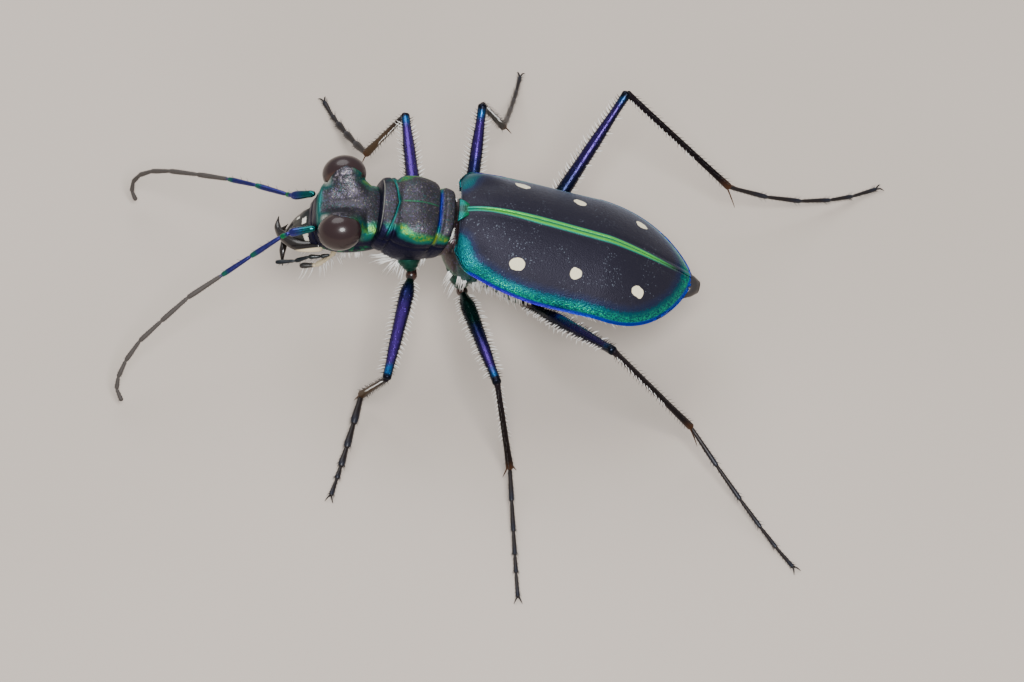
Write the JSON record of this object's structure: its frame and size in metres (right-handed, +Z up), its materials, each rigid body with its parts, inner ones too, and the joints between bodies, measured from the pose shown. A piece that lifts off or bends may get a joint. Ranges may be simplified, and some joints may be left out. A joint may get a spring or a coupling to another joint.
{
  "type": "tiger beetle",
  "caption": "Still, life-size tiger beetle with large eyes, sickle jaws, long legs and dark iridescent wing cases with pale spots.",
  "frame": {"origin": "centre of the whole animal's box at the level of the floor it stands on", "axes": "+Z up, head towards -X, the beetle's left side towards -Y"},
  "size_m": [0.0276, 0.0236, 0.0075],
  "materials": {
    "metal_shell": "granular violet-grey shell with green, teal and gold gloss in its grooves and along its edges",
    "wing_case": "velvety blue-black with fine bright grains, a teal-green edge, a violet rim, a yellow-green seam and cream spots",
    "eye": "glossy dark brown with very fine facets",
    "dark_cuticle": "glossy brown-black",
    "violet_limb": "metallic, from green at the root through violet to blue at the knee, with pitted rows",
    "dark_limb": "brown-black with violet and blue gloss",
    "antenna": "dull grey-brown, finely downy",
    "pale_mouth": "cream horn with dark pores and edges",
    "white_hair": "fine stiff white hairs"
  },
  "bodies": {
    "root": {"head": "metal_shell", "prothorax": "metal_shell", "pterothorax": "metal_shell", "abdomen": "dark_cuticle", "scutellum": "metal_shell", "labrum": "pale_mouth", "wing_case_left": "wing_case", "eye_left": "eye", "mandible_left": "dark_cuticle", "maxillary_palp_left": "dark_cuticle", "labial_palp_left": "pale_mouth", "antenna_base_left": "violet_limb", "antenna_left": "antenna", "front_left_coxa": "metal_shell", "front_left_trochanter": "dark_cuticle", "front_left_femur": "violet_limb", "front_left_tibia": "dark_limb", "front_left_tarsus": "dark_limb", "middle_left_coxa": "metal_shell", "middle_left_trochanter": "dark_cuticle", "middle_left_femur": "violet_limb", "middle_left_tibia": "dark_limb", "middle_left_tarsus": "dark_limb", "hind_left_coxa": "metal_shell", "hind_left_trochanter": "dark_cuticle", "hind_left_femur": "violet_limb", "hind_left_tibia": "dark_limb", "hind_left_tarsus": "dark_limb", "wing_case_right": "wing_case", "eye_right": "eye", "mandible_right": "dark_cuticle", "maxillary_palp_right": "dark_cuticle", "labial_palp_right": "pale_mouth", "antenna_base_right": "violet_limb", "antenna_right": "antenna", "front_right_coxa": "metal_shell", "front_right_trochanter": "dark_cuticle", "front_right_femur": "violet_limb", "front_right_tibia": "dark_limb", "front_right_tarsus": "dark_limb", "middle_right_coxa": "metal_shell", "middle_right_trochanter": "dark_cuticle", "middle_right_femur": "violet_limb", "middle_right_tibia": "dark_limb", "middle_right_tarsus": "dark_limb", "hind_right_coxa": "metal_shell", "hind_right_trochanter": "dark_cuticle", "hind_right_femur": "violet_limb", "hind_right_tibia": "dark_limb", "hind_right_tarsus": "dark_limb"}
  },
  "joints": []
}
